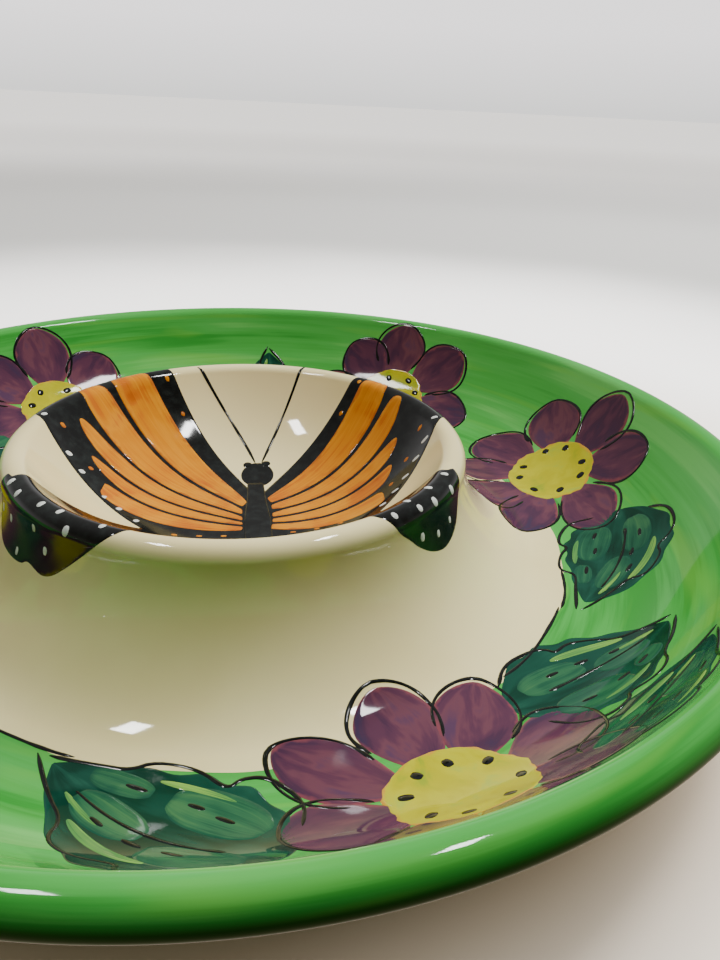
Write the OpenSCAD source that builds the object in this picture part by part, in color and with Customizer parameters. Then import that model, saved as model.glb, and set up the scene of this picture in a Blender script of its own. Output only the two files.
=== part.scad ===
// Hand-painted ceramic chip and dip server.
// A round tray with a rolled rim carries a raised dip bowl at its centre.
// +Z is up, the origin is the centre of the foot ring's resting face,
// and the butterfly painted in the bowl has its head towards +Y.

/* [Tray] */
// Overall diameter across the rolled rim
tray_d = 380; // [370:1:390]
// Height of the rim's top above the table
rim_top = 56.3; // [54:0.1:60]
// Thickness of the rolled rim
rim_bead = 10.6; // [10:0.1:12]
// Angle on the rim's section where the inner wall runs into it
rim_join = 151; // [145:1:155]
// Angle on the rim's section where the outer wall leaves it
rim_leave = -106; // [-112:1:-100]
// Height of the chip well's floor
well_z = 12; // [11:0.5:13]
// Power of the well's wall curve: higher turns up later
well_power = 2.8; // [2.5:0.1:3]

/* [Dip bowl] */
// Radius of the bowl's crest
crest_r = 79.8; // [78:0.1:82]
// Height of the crest
crest_top = 55.7; // [54:0.1:58]
// Radius of the crest's rounding
crest_round = 5; // [4.6:0.1:5.4]
// Angle on the crest's section where the bowl's inside runs into it
crest_join = 148; // [145:1:152]
// Height of the bowl's floor
bowl_z = 21; // [19:0.5:23]
// Power of the bowl's inside curve
bowl_power = 3.4; // [3:0.1:3.8]
// Radius where the flank has flared out to the well's floor
flank_r = 117; // [115:0.5:118]
// Power of the flank's flare
flank_power = 1.7; // [1.5:0.1:1.9]

/* [Clay and coats] */
// Thickness of the clay wall
wall = 6.5; // [6:0.1:7]
// Thickness of a glaze coat
coat = 0.5; // [0.4:0.1:0.6]
// Thickness of a painted layer
paint = 0.25; // [0.2:0.05:0.3]
// Radius of the edge between the cream and green glazes
cream_r = 122; // [121.5:0.5:124]

// Radius where the tray's level floor ends and its wall begins
floor_r = 152; // [148:1:156]
// Radius where the tray's wall ends and the rolled rim begins
rim_r = 178; // [177:0.5:179]
// Radius where the skirt's steep upper part ends
skirt_r = 92; // [90:0.5:95]
// Radius where the bowl's floor ends
bowl_r = 50; // [45:1:55]

/* [Foot ring] */
// Outer radius of the foot ring
foot_r = 121; // [120:0.5:121]
// Width of the foot ring
foot_w = 8; // [7:0.5:9]
// Rounding of the foot ring's lower edges
foot_round = 1.5; // [1:0.5:2]

/* [Flowers] */
// Petals on a flower
petals = 8; // [7:1:9]
// Distance from a flower's centre to a petal's tip
petal_reach = 48; // [44:1:48]
// Width of a petal
petal_w = 27; // [24:1:28]
// Radius of a flower's yellow centre
centre_r = 20; // [17:1:21]
// Raised dots on a flower's centre
dots = 8; // [6:1:9]
// Diameter of a raised dot
dot_d = 3.5; // [2:0.5:4]

/* [Hidden] */
// Each row is a flower: azimuth, radius to its centre, turn
FLOWERS = [
    [-70, 150, 0],
    [13, 147, 2],
    [57, 151, 0],
    [128, 149, -5],
    [168, 147, 8],
    [212, 149, 15]
];
// Each row is a leaf: azimuth, radius to its middle, way its tip points, length, width
LEAVES = [
    [-15, 145, -112, 62, 42],
    [-44, 147, 60, 62, 42],
    [-52, 170, 84, 62, 30],
    [-99, 142, -117, 74, 46],
    [-120, 160, 85, 56, 32],
    [83, 150, 8, 48, 34],
    [102, 138, -100, 50, 30],
    [149, 152, 80, 54, 34],
    [190, 138, -100, 56, 34],
    [190, 164, 95, 56, 32]
];
FLOWER_NODES = [for (i = [1:len(FLOWERS)]) str("flower_", i)];
LEAF_NODES = [for (i = [1:len(LEAVES)]) str("leaf_", i)];

CLAY = "antiquewhite";
GREEN = "mediumseagreen";
CREAM = "cornsilk";
PURPLE = [0.42, 0.19, 0.28];
YELLOW = [0.85, 0.78, 0.15];
LEAF = [0.05, 0.28, 0.16];
ORANGE = [0.9, 0.5, 0.12];
BLACK = [0.05, 0.05, 0.05];

// Section of the rim and of the crest
rim_round = rim_bead / 2;
rim_c = [tray_d / 2 - rim_round, rim_top - rim_round];
crest_c = [crest_r, crest_top - crest_round];
base_z = well_z - wall;
// Where the clay of the bowl and of the skirt part company under the crest
apex = [crest_r, crest_c[1] - 3.7];
// Tall enough to cut through every layer
cut_h = 80;

function polar(r, a) = r * [cos(a), sin(a)];
function reverse(list) = [for (i = [len(list) - 1:-1:0]) list[i]];
function arc(c, r, a0, a1, n) = [for (i = [0:n]) c + polar(r, a0 + (a1 - a0) * i / n)];
// A curve that leaves p0 level and climbs to p1
function power_line(p0, p1, power, n) = [
    for (i = [0:n])
        [p0[0] + (p1[0] - p0[0]) * i / n, p0[1] + (p1[1] - p0[1]) * pow(i / n, power)]
];
// A curve that leaves p0 straight down and reaches p1 level
function flare_line(p0, p1, power, n) = [
    for (i = [0:n])
        let (a = 90 * i / n)
        [p1[0] - (p1[0] - p0[0]) * pow(cos(a), 2 / power),
         p0[1] - (p0[1] - p1[1]) * pow(sin(a), 2 / power)]
];
// The line moved sideways by d, to the left of its own direction
function moved(line, d) = [
    for (i = [0:len(line) - 1])
        let (
            a = line[max(0, i - 1)],
            b = line[min(len(line) - 1, i + 1)],
            n = [a[1] - b[1], b[0] - a[0]] / norm(b - a),
            p = line[i] + d * n
        )
        [line[i][0] > 0 ? p[0] : 0, p[1]]
];
function rest_of(line) = [for (i = [1:len(line) - 1]) line[i]];
// Points on a curve with one control point
function bend(a, b, c, n = 10) = [
    for (i = [0:n])
        let (t = i / n)
        a * pow(1 - t, 2) + b * 2 * t * (1 - t) + c * pow(t, 2)
];

// The finished surface from the bowl's middle to the foot ring's outside
bowl_line = power_line([0, bowl_z], crest_c + polar(crest_round, crest_join), bowl_power, 16);
crest_in = arc(crest_c, crest_round, crest_join, 90, 6);
crest_out = arc(crest_c, crest_round, 90, 0, 9);
flank_line = flare_line(crest_c + [crest_round, 0], [flank_r, well_z], flank_power, 18);
well_line = power_line([flank_r, well_z], rim_c + polar(rim_round, rim_join), well_power, 22);
rim_line = arc(rim_c, rim_round, rim_join, rim_leave, 36);
wall_line = [
    for (p = reverse(moved(well_line, -wall)))
        if (norm(p - rim_c) > rim_round + 1 && p[0] > foot_r + 1) p
];
bowl_top = concat(bowl_line, rest_of(crest_in));
flank_top = concat(crest_out, rest_of(flank_line));
cream_top = [for (p = well_line) if (p[0] < cream_r) p];
green_top = [for (p = well_line) if (p[0] > cream_r) p];
cream_edge = [cream_r, lookup(cream_r, well_line)];
green_line = concat([cream_edge], green_top, rest_of(rim_line), wall_line, [[foot_r, base_z]]);
cream_line = concat(bowl_top, rest_of(flank_top), rest_of(cream_top), [cream_edge]);
paint_line = concat(flank_line, rest_of(well_line));

// Distance along the painted surface for each radius, counted from the flank's top
along = [
    for (i = 0, s = 0; i < len(paint_line) - 1;
         s = s + norm(paint_line[i + 1] - paint_line[i]), i = i + 1)
        [s, paint_line[i][0]]
];
function along_at(r) = lookup(r, [for (p = along) [p[1], p[0]]]);
// A point of the tray's surface, seen from above: u outwards along the surface, v around
function on_tray(place, u, v) =
    let (r = lookup(along_at(place[1]) + u, along))
    polar(r, place[0] + v / r * 180 / PI);
// A shape drawn flat, turned and laid on the tray
function laid(shape, place, turn) = [
    for (p = shape)
        on_tray(place, p[0] * cos(turn) - p[1] * sin(turn), p[0] * sin(turn) + p[1] * cos(turn))
];
function ellipse(c, rx, ry, n = 28) = [
    for (i = [0:n - 1])
        c + [rx * cos(360 * i / n), ry * sin(360 * i / n)]
];
// A pointed oval along +X
function leaf_shape(l, w, n = 14) = concat(
    [for (i = [0:n]) [l * (i / n - 0.5), w / 2 * sin(180 * pow(i / n, 0.8))]],
    [for (i = [n - 1:-1:1]) [l * (i / n - 0.5), -w / 2 * sin(180 * pow(i / n, 0.8))]]
);

module revolved_layer(line, low, high, start = 0, angle = 360) {
    rotate([0, 0, start])
        rotate_extrude(angle = angle, $fn = 180)
            polygon(concat(moved(line, high), reverse(moved(line, low))));
}

// A painted layer on the tray, with the outline of its children, around azimuth a
module tray_paint(a, low, high) {
    intersection() {
        revolved_layer(paint_line, low, high, a - 35, 70);
        linear_extrude(cut_h) children();
    }
}

// A painted layer inside the bowl
module bowl_paint(low, high) {
    intersection() {
        revolved_layer(bowl_top, low, high);
        linear_extrude(cut_h) children();
    }
}

// A painted layer on the flank, drawn in the plane that faces azimuth a
module flank_paint(a, low, high) {
    intersection() {
        revolved_layer(flank_top, low, high, a - 35, 70);
        rotate([90, 0, a + 90])
            linear_extrude(cut_h * 2)
                children();
    }
}

// Clay

// A line whose radius grows, cut off at two radii
function between(line, low, high) =
    let (
        a = max(low, line[0][0]),
        b = min(high, line[len(line) - 1][0])
    )
    concat(
        [[a, lookup(a, line)]],
        [for (p = line) if (p[0] > a + 0.01 && p[0] < b - 0.01) p],
        [[b, lookup(b, line)]]
    );

// The clay between an upper and a lower surface, from one radius to another
module clay_ring(top, under, low, high) {
    color(CLAY) rotate_extrude($fn = 180)
        polygon(concat(between(top, low, high), reverse(between(under, low, high))));
}

tray_clay = moved(concat(well_line, rest_of(rim_line), wall_line, [[foot_r, base_z]]), -coat);
tray_top = [for (i = [0:len(well_line) - 1]) tray_clay[i]];
tray_under = concat(
    [[flank_r, base_z], [foot_r, base_z]],
    reverse([for (i = [len(tray_clay) - 1 - len(wall_line):len(tray_clay) - 2]) tray_clay[i]])
);
skirt_top = moved(flank_top, -coat);
skirt_under = flare_line(apex, [flank_r, base_z], flank_power, 18);
bowl_clay = moved(bowl_top, -coat);
bowl_under = power_line([0, bowl_z - wall], apex, bowl_power, 16);

module tray_floor() {
    clay_ring(tray_top, tray_under, flank_r, floor_r);
}

module tray_wall() {
    clay_ring(tray_top, tray_under, floor_r, rim_r);
}

module rim_roll() {
    color(CLAY) rotate_extrude($fn = 180)
        polygon(concat(
            [[rim_r, lookup(rim_r, tray_top)]],
            [for (p = tray_clay) if (p[0] > rim_r + 0.2) p],
            [[rim_r, lookup(rim_r, tray_under)]]
        ));
}

module skirt_upper() {
    clay_ring(skirt_top, skirt_under, crest_r, skirt_r);
}

module skirt_lower() {
    clay_ring(skirt_top, skirt_under, skirt_r, flank_r);
}

module bowl_floor() {
    clay_ring(bowl_clay, bowl_under, 0, bowl_r);
}

module bowl_wall() {
    clay_ring(bowl_clay, bowl_under, bowl_r, crest_r);
}

module foot_ring() {
    inner = foot_r - foot_w + foot_round;
    outer = foot_r - foot_round;
    section = concat(
        [[foot_r, base_z], [foot_r - foot_w, base_z]],
        arc([inner, foot_round], foot_round, 180, 270, 6),
        arc([outer, foot_round], foot_round, 270, 360, 6)
    );
    color(CLAY) rotate_extrude($fn = 180) polygon(section);
}

// Glaze

module green_glaze() {
    color(GREEN) revolved_layer(green_line, -coat, 0);
}

module cream_glaze() {
    color(CREAM) revolved_layer(cream_line, -coat, 0);
}

// Flowers

module petals_shape(flower) {
    middle = (petal_reach + centre_r * 0.55) / 2;
    reach = petal_reach - middle;
    petal = ellipse([middle, 0], reach, petal_w / 2);
    for (i = [0:petals - 1])
        polygon(laid(petal, flower, flower[2] + 360 * i / petals));
}

module flower_petals(flower) {
    color(PURPLE) tray_paint(flower[0], 0, paint)
        difference() {
            petals_shape(flower);
            polygon(laid(ellipse([0, 0], centre_r, centre_r), flower, 0));
        }
}

module flower_centre(flower) {
    color(YELLOW) tray_paint(flower[0], 0, paint)
        polygon(laid(ellipse([0, 0], centre_r, centre_r), flower, 0));
}

module flower_dots(flower) {
    color(BLACK) tray_paint(flower[0], paint, paint * 3)
        for (i = [0:dots - 1])
            translate(laid([[centre_r * 0.72, 0]], flower, flower[2] + 360 * i / dots)[0])
                circle(d = dot_d, $fn = 24);
}

// A leaf stops where the petals of a flower near it begin
module leaf(place) {
    near = [for (f = FLOWERS) if (cos(f[0] - place[0]) > cos(42)) f];
    color(LEAF) tray_paint(place[0], 0, paint)
        difference() {
            polygon(laid(leaf_shape(place[3], place[4]), place, place[2]));
            for (f = near) petals_shape(f);
        }
}

// Butterfly

// The body's line, across from the bowl's middle
body_x = 5;
// Half width of the body and radius of the head
body_half = 4;
head_r = 6;
// The body's ends
head_y = 29;
tail_y = -38;

module head_eye(side) {
    translate([body_x + side * 4, head_y + 6]) circle(r = 1.8, $fn = 24);
}

module body_shape() {
    polygon(ellipse([body_x, (head_y - 6 + tail_y) / 2], body_half, (head_y - 2 - tail_y) / 2));
    translate([body_x, head_y]) circle(r = head_r, $fn = 32);
    head_eye(-1);
    head_eye(1);
}

module butterfly_body() {
    color(BLACK) bowl_paint(0, paint * 3) body_shape();
}

// A point beside a line of points, by the distance d to its left
function side_of(line, i, d) =
    let (
        a = line[max(0, i - 1)],
        b = line[min(len(line) - 1, i + 1)]
    )
    line[i] + d * [a[1] - b[1], b[0] - a[0]] / norm(b - a);

// A stroke of constant width along a line of points
module stroke(line, w) {
    last = len(line) - 1;
    polygon(concat(
        [for (i = [0:last]) side_of(line, i, w / 2)],
        [for (i = [last:-1:0]) side_of(line, i, -w / 2)]
    ));
}

module antennae() {
    feeler_left = bend([3, 38], [-3, 58], [-21, 77]);
    feeler_right = bend([8, 38], [14, 55], [31, 74]);
    color(BLACK) bowl_paint(0, paint)
        union() {
            stroke(feeler_left, 1.1);
            stroke(feeler_right, 1.1);
        }
}

// A wing's outline runs up its leading edge, over the rim and back along its trailing edges
function lead_edge(side) = side < 0
    ? bend([3, 17], [-10, 44], [-34, 76])
    : bend([8, 15], [24, 42], [56, 66]);
function trail_edge(side) = side < 0
    ? bend([-82, 22], [-58, -2], [-38, -18])
    : bend([82, 12], [68, -10], [50, -25]);
function hind_edge(side) = side < 0
    ? bend([-38, -18], [-60, -22], [-78, -38])
    : bend([50, -25], [62, -28], [78, -42]);
function hind_tail(side) = side < 0
    ? bend([-33, -80], [-14, -62], [3, -34])
    : bend([40, -76], [22, -60], [7, -34]);
function wing_outline(side) = concat(
    lead_edge(side),
    side < 0 ? arc([0, 0], 86, 116, 164, 6) : arc([0, 0], 86, 48, 9, 6),
    trail_edge(side),
    hind_edge(side),
    side < 0 ? arc([0, 0], 88, 203, 244, 6) : arc([0, 0], 88, -27, -59, 6),
    hind_tail(side)
);

// The wing tip that drapes over the crest onto the flank: azimuth, half width and drop
TIP_LEFT = [223, 31, 20];
TIP_RIGHT = [317, 24, 19];
module wing_tip(tip) {
    scallops = 5;
    lower = [
        for (t = [-1:1 / 15:1])
            let (
                drop = 3 + (tip[2] - 3) * sqrt(1 - min(1, pow(abs(t), 2.6))),
                scallop = 0.8 * abs(sin(90 * scallops * (t + 1)))
            )
            [tip[1] * t, crest_top - drop - scallop]
    ];
    color(BLACK) flank_paint(tip[0], 0, paint)
        polygon(concat(lower, [[tip[1], cut_h], [-tip[1], cut_h]]));
}

// Each row is a dot on a wing tip: azimuth and drop below the crest's top
TIP_DOTS_LEFT = [[-153, 11], [-146, 17], [-139, 9], [-131, 14], [-124, 7]];
TIP_DOTS_RIGHT = [[-34, 8], [-38, 15], [-44, 16], [-48, 9], [-53, 6]];
module tip_dots(tip, rows) {
    color("white") flank_paint(tip[0], paint, paint * 3)
        for (row = rows)
            translate([(crest_r + crest_round) * sin(row[0] - tip[0]), crest_top - row[1]])
                circle(d = 3, $fn = 20);
}

module wing_ground(side) {
    color(BLACK) bowl_paint(0, paint)
        difference() {
            polygon(wing_outline(side));
            body_shape();
        }
}

// A cell of the wing: a finger along a bent line from the body to a rounded tip
function finger_half(t, w0, w1) = (w0 + (w1 - w0) * t) * sqrt(1 - pow(t, 14));
function finger(row, n = 16) =
    let (line = bend(row[0], row[1], row[2], n))
    concat(
        [for (i = [0:n - 1]) side_of(line, i, finger_half(i / n, row[3], row[4]))],
        [for (i = [n:-1:0]) side_of(line, i, -finger_half(i / n, row[3], row[4]))]
    );

// Each row is a cell: root, control point, tip, half width at the root and at the tip
FORE_LEFT = [
    [[0, 5], [-20, 34], [-53, 66], 1, 10],
    [[0, -1.5], [-28, 21], [-70, 51], 0.8, 7],
    [[0, -7], [-28, 10], [-65, 30.5], 0.8, 5],
    [[0, -10.7], [-27, 0], [-59.5, 18], 0.7, 3.3],
    [[0, -13.7], [-26, -12.5], [-52, 3.5], 0.8, 5.6]
];
FORE_RIGHT = [
    [[10, 7.5], [32, 24], [65, 52], 1, 10],
    [[10, 2], [38, 11], [69, 35], 0.8, 6],
    [[10, -4.5], [38, 3], [64.5, 18], 1, 4.2],
    [[10, -8.7], [36, -8], [60, 5], 0.8, 7],
    [[9.5, -12.7], [32, -17], [53.5, -12], 1.8, 5.5]
];
HIND_LEFT = [
    [[-2, -25], [-30, -26], [-62, -40], 1.5, 6],
    [[-1, -29], [-24, -38], [-50, -56], 1.2, 6],
    [[1, -33], [-12, -48], [-31, -66], 1, 5]
];
HIND_RIGHT = [
    [[11, -27], [36, -30], [62, -44], 1.5, 5],
    [[10, -31], [30, -42], [50, -58], 1.2, 5],
    [[9, -35], [22, -50], [38, -66], 1, 4]
];
module wing_cells(rows) {
    color(ORANGE) bowl_paint(paint, paint * 2)
        for (row = rows) polygon(finger(row));
}

// Spots stand in a row inside a wing's edge
module spot_row(edge, inset, count, d) {
    last = len(edge) - 1;
    for (i = [0:count - 1])
        let (t = round(last * (i + 0.6) / count))
        translate(side_of(edge, t, inset)) circle(d = d, $fn = 16);
}

module wing_spots_white() {
    color("white") bowl_paint(paint, paint * 3)
        union() {
            spot_row(trail_edge(-1), 3.2, 5, 2.8);
            spot_row(trail_edge(1), -3.2, 5, 2.8);
        }
}

module wing_spots_orange() {
    color(ORANGE) bowl_paint(paint, paint * 3)
        union() {
            spot_row(trail_edge(-1), 8, 3, 2.4);
            spot_row(trail_edge(1), -8, 3, 2.4);
            spot_row(lead_edge(-1), 4, 3, 2.4);
            spot_row(lead_edge(1), -4, 3, 2.4);
        }
}

tray_floor();
tray_wall();
rim_roll();
skirt_upper();
skirt_lower();
bowl_floor();
bowl_wall();
foot_ring();
green_glaze();
cream_glaze();
for (i = [0:len(FLOWERS) - 1]) {
    flower_petals(FLOWERS[i]);
    flower_centre(FLOWERS[i]);
    flower_dots(FLOWERS[i]);
}
for (i = [0:len(LEAVES) - 1]) {
    leaf(LEAVES[i]);
}
butterfly_body();
antennae();
wing_ground(-1);  // wing_ground_left
wing_ground(1);  // wing_ground_right
wing_tip(TIP_LEFT);  // wing_tip_left
wing_tip(TIP_RIGHT);  // wing_tip_right
wing_cells(FORE_LEFT);  // forewing_cells_left
wing_cells(FORE_RIGHT);  // forewing_cells_right
wing_cells(HIND_LEFT);  // hindwing_cells_left
wing_cells(HIND_RIGHT);  // hindwing_cells_right
tip_dots(TIP_LEFT, TIP_DOTS_LEFT);  // tip_dots_left
tip_dots(TIP_RIGHT, TIP_DOTS_RIGHT);  // tip_dots_right
wing_spots_white();
wing_spots_orange();
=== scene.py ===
"""Hand-painted chip and dip server: its looks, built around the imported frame.

Shapes are drawn flat, in metres, and laid on the finished surface, which is a section
turned about Z. A place on it is (s, a): the distance s along the section from the
bowl's middle, and the azimuth a.
"""
import math

import bpy
import numpy as np
from mathutils import Matrix, Vector
from mathutils.geometry import delaunay_2d_cdt


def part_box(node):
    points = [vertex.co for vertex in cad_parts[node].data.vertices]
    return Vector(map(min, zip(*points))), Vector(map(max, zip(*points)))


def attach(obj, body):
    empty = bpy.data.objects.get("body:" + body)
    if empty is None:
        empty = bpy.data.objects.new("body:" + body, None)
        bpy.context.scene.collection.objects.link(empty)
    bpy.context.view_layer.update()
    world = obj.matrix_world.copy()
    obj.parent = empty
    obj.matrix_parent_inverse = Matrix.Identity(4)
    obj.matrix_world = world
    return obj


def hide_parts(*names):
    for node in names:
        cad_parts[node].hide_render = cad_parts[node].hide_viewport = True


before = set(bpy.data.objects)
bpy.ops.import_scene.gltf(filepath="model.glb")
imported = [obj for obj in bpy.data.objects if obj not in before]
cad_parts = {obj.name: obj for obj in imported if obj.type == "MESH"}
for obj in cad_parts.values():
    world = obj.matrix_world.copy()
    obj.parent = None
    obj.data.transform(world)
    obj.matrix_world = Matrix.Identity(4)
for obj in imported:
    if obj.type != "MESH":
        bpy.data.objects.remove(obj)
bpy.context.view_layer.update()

MM = 0.001
COAT = 0.5 * MM
WALL = 6.5 * MM
FOOT_WIDTH = 8 * MM
SEGMENTS = 288
SMOOTH_ANGLE = 50

# Paint: how thick a base layer is, how far its edge falls away, and how deep it is sunk
PAINT = 0.12 * MM
EDGE_SOFT = 0.25 * MM
BURIED = 0.06 * MM

# Driving sizes, from the frame
TRAY_R, _, RIM_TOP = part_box("green_glaze")[1]
CREST_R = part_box("bowl_wall")[1][0]
CREAM_R, _, CREST_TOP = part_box("cream_glaze")[1]
WELL_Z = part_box("cream_glaze")[0][2] + COAT
BOWL_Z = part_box("bowl_floor")[0][2] + WALL
FOOT_R, _, BASE_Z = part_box("foot_ring")[1]
FLANK_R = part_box("skirt_lower")[1][0]
FLOOR_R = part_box("tray_floor")[1][0]
RIM_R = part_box("tray_wall")[1][0]
SKIRT_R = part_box("skirt_upper")[1][0]
BOWL_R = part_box("bowl_floor")[1][0]

# Sections of the rolled rim and of the crest, and the powers of the curves between them
RIM_ROUND = 5.3 * MM
CREST_ROUND = 5 * MM
RIM_C = np.array([TRAY_R - RIM_ROUND, RIM_TOP - RIM_ROUND])
CREST_C = np.array([CREST_R, CREST_TOP - CREST_ROUND])
RIM_JOIN, RIM_LEAVE = 151, -106
CREST_JOIN = 148
BOWL_POWER, FLANK_POWER, WELL_POWER = 3.4, 1.7, 2.8


def polar(r, degrees):
    a = np.radians(degrees)
    return np.stack([r * np.cos(a), r * np.sin(a)], -1)


def arc(centre, r, start, end, n):
    return centre + polar(r, np.linspace(start, end, n))


def power_line(p0, p1, power, n):
    """Leaves p0 level and climbs to p1."""
    t = np.linspace(0, 1, n)
    return np.stack([p0[0] + (p1[0] - p0[0]) * t, p0[1] + (p1[1] - p0[1]) * t ** power], -1)


def flare_line(p0, p1, power, n):
    """Leaves p0 straight down and reaches p1 level."""
    a = np.linspace(0, np.pi / 2, n)
    c = np.clip(np.cos(a), 0, 1) ** (2 / power)
    s = np.sin(a) ** (2 / power)
    return np.stack([p1[0] - (p1[0] - p0[0]) * c, p0[1] - (p0[1] - p1[1]) * s], -1)


def moved(line, d):
    """The line moved sideways by d, to the left of its own direction."""
    run = np.gradient(line, axis=0)
    run /= np.linalg.norm(run, axis=1)[:, None]
    return line + d * np.stack([-run[:, 1], run[:, 0]], -1)


def joined(*lines):
    return np.concatenate([lines[0]] + [line[1:] for line in lines[1:]])


def walked(line):
    """Distance along a line at each of its points."""
    return np.concatenate([[0], np.cumsum(np.linalg.norm(np.diff(line, axis=0), axis=1))])


BOWL_LINE = power_line([0, BOWL_Z], CREST_C + polar(CREST_ROUND, CREST_JOIN), BOWL_POWER, 240)
CREST_LINE = arc(CREST_C, CREST_ROUND, CREST_JOIN, 0, 90)
FLANK_LINE = flare_line(CREST_C + [CREST_ROUND, 0], [FLANK_R, WELL_Z], FLANK_POWER, 240)
WELL_LINE = power_line([FLANK_R, WELL_Z], RIM_C + polar(RIM_ROUND, RIM_JOIN), WELL_POWER, 300)
RIM_LINE = arc(RIM_C, RIM_ROUND, RIM_JOIN, RIM_LEAVE, 150)
WALL_LINE = moved(WELL_LINE, -WALL)[::-1]
WALL_LINE = WALL_LINE[np.linalg.norm(WALL_LINE - RIM_C, axis=1) > RIM_ROUND + 0.3 * MM]
WALL_LINE = WALL_LINE[WALL_LINE[:, 0] > FOOT_R + 0.5 * MM]
# joined drops the first point of a line, which repeats the last one
FOOT_CORNER = [[0, 0], [FOOT_R, BASE_Z]]
SECTION = joined(BOWL_LINE, CREST_LINE, FLANK_LINE, WELL_LINE, RIM_LINE, WALL_LINE, FOOT_CORNER)

S = walked(SECTION)
R, Z = SECTION.T
# Two points may fall together, so the distances are kept apart by a hair
_apart = S + 1e-9 * np.arange(len(S))
_run = np.stack([np.gradient(R, _apart), np.gradient(Z, _apart)], -1)
_run /= np.linalg.norm(_run, axis=1)[:, None]
OUT = np.stack([-_run[:, 1], _run[:, 0]], -1)


S_RIM = S[np.argmax(R)]


def s_at(r):
    """Distance along the section where it reaches radius r, on its way outwards."""
    outward = S <= S_RIM
    return np.interp(r, R[outward], S[outward])


S_CREST = s_at(CREST_R)


def on_surface(s, a, h=0.0):
    """Points at distance s, azimuth a (radians) and height h above the surface."""
    r = np.interp(s, S, R) + h * np.interp(s, S, OUT[:, 0])
    z = np.interp(s, S, Z) + h * np.interp(s, S, OUT[:, 1])
    return np.stack([r * np.cos(a), r * np.sin(a), z], -1)


def tray_place(azimuth, r):
    """Lays a flat drawing, x outwards and y around, on the tray at that place."""
    s0, a0 = s_at(r), math.radians(azimuth)

    def lay(p):
        s = s0 + p[..., 0]
        return s, a0 + p[..., 1] / np.interp(s, S, R)
    return lay


def bowl_place(p):
    """Lays the bowl's plan on it. Beyond the crest the plan runs on down the flank."""
    rho = np.hypot(p[..., 0], p[..., 1])
    inside = S <= S_CREST
    s = np.where(rho < CREST_R, np.interp(rho, R[inside], S[inside]), S_CREST + rho - CREST_R)
    return s, np.arctan2(p[..., 1], p[..., 0])


# Mesh building

def new_piece(name, points, faces, material, stands_for=(), paint=None):
    mesh = bpy.data.meshes.new(name)
    mesh.from_pydata(np.asarray(points).tolist(), [], faces)
    mesh.validate()
    mesh.shade_smooth()
    mesh.set_sharp_from_angle(angle=math.radians(SMOOTH_ANGLE))
    if paint is not None:
        layer = mesh.attributes.new("paint", "FLOAT_VECTOR", "POINT")
        layer.data.foreach_set("vector", np.asarray(paint, np.float32).ravel())
    mesh.materials.append(material)
    piece = bpy.data.objects.new(name, mesh)
    bpy.context.scene.collection.objects.link(piece)
    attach(piece, "root")
    if stands_for:
        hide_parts(*stands_for)
    return piece


def lathe(name, section, material, stands_for=(), paint=None, shift=None):
    """A closed section turned about Z. shift moves a section's point along the surface."""
    section = np.asarray(section)
    n = len(section)
    a = np.linspace(0, 2 * np.pi, SEGMENTS, endpoint=False)
    points, rows, data = [], [], []
    for i, (r, z) in enumerate(section):
        run = paint[i] if paint is not None else 0
        count = 1 if r < 1e-7 else SEGMENTS
        rows.append([len(points)] * SEGMENTS if count == 1 else range(len(points), len(points) + count))
        angles = a[:count]
        dr, dz = shift(run, angles) if shift else (0 * angles, 0 * angles)
        points.extend(zip((r + dr) * np.cos(angles), (r + dr) * np.sin(angles), z + dz))
        data.extend(zip(np.cos(angles), np.sin(angles), run + 0 * angles))
    faces = []
    for i in range(n):
        low, high = rows[i], rows[(i + 1) % n]
        for k in range(SEGMENTS):
            m = (k + 1) % SEGMENTS
            corners = [low[k], low[m], high[m], high[k]]
            face = [c for j, c in enumerate(corners) if c != corners[j - 1]]
            if len(face) > 2:
                faces.append(face)
    return new_piece(name, points, faces, material, stands_for, data)


def strip_grid(left, right, across):
    t = np.sin(np.linspace(-np.pi / 2, np.pi / 2, across))
    w = (t + 1) / 2
    return left[:, None] * (1 - w)[None, :, None] + right[:, None] * w[None, :, None], t


def strip_mesh(left, right, lay, thick, across=7, soft=EDGE_SOFT):
    """A thin raised strip between two lines drawn side by side: points, faces, paint."""
    grid, t = strip_grid(left, right, across)
    n, m = grid.shape[:2]
    half = np.linalg.norm(right - left, axis=1)[:, None] / 2
    side = half * (1 - np.abs(t))[None]
    middle = (left + right) / 2
    run = walked(middle)
    end = np.minimum(run, run[-1] - run)[:, None]
    edge = np.minimum(side, end + 0 * side)
    s, a = lay(grid)
    h = -BURIED + (thick + BURIED) * (1 - np.exp(-edge / soft))
    top = on_surface(s, a, h).reshape(-1, 3)
    bottom = on_surface(s, a, -2 * BURIED + 0 * h).reshape(-1, 3)
    along = (run / run[-1])[:, None] + 0 * side
    paint = np.stack([along, t[None] + 0 * side, edge / MM], -1).reshape(-1, 3)
    return np.concatenate([top, bottom]), grid_faces(n, m), np.concatenate([paint, paint])


def grid_faces(n, m):
    """Faces of a closed slab whose top is an n by m grid and whose bottom follows it."""
    def at(i, j, low=0):
        return low * n * m + i * m + j
    faces = []
    for i in range(n - 1):
        for j in range(m - 1):
            faces.append((at(i, j), at(i, j + 1), at(i + 1, j + 1), at(i + 1, j)))
            faces.append((at(i, j, 1), at(i + 1, j, 1), at(i + 1, j + 1, 1), at(i, j + 1, 1)))
    for i in range(n - 1):
        faces.append((at(i, 0), at(i + 1, 0), at(i + 1, 0, 1), at(i, 0, 1)))
        faces.append((at(i, m - 1), at(i, m - 1, 1), at(i + 1, m - 1, 1), at(i + 1, m - 1)))
    for j in range(m - 1):
        faces.append((at(0, j), at(0, j, 1), at(0, j + 1, 1), at(0, j + 1)))
        faces.append((at(n - 1, j), at(n - 1, j + 1), at(n - 1, j + 1, 1), at(n - 1, j, 1)))
    return faces


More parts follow.
